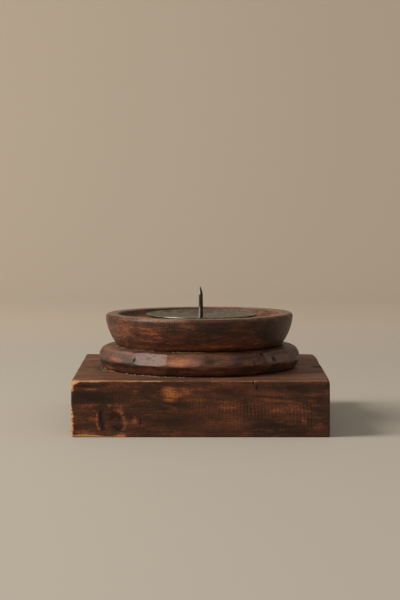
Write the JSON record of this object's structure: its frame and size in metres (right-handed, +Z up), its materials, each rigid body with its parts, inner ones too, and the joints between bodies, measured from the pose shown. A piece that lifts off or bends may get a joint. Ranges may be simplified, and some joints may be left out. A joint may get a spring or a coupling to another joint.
{
  "type": "pricket candle stand",
  "caption": "Low free-standing candle stand: square wooden plinth, faceted ring and shallow bowl on one tie rod, with an iron spike and a loose dished drip pan.",
  "frame": {"origin": "centre of the plinth's underside, on the tie rod's axis", "axes": "+Z up along the spike, +X to the viewer's right, +Y away from the viewer"},
  "size_m": [0.2, 0.2, 0.1102],
  "materials": {
    "plinth_wood": "dark blotchy stain, rubbed bare at the edges, waxed",
    "ring_wood": "dark stain over knife-cut flats, waxed to a satin sheen",
    "bowl_wood": "dark red-brown stain with tool marks, waxed",
    "pan_iron": "hammered sheet iron, aged grey with a rubbed bright edge",
    "pricket_iron": "black forged scale, rubbed bright on its corners",
    "fastener_steel": "dull oiled steel"
  },
  "bodies": {
    "stand": {"plinth": "plinth_wood", "torus_ring": "ring_wood", "bowl": "bowl_wood", "pricket": "pricket_iron", "upper_washer": "fastener_steel", "upper_nut": "fastener_steel", "lower_washer": "fastener_steel", "lower_nut": "fastener_steel"},
    "pan": {"drip_pan": "pan_iron"}
  },
  "joints": [
    {"name": "drip_pan_lift", "type": "slide", "parent": "stand", "child": "pan", "axis": [0, 0, 1], "range_m": [0, 0.035]}
  ]
}
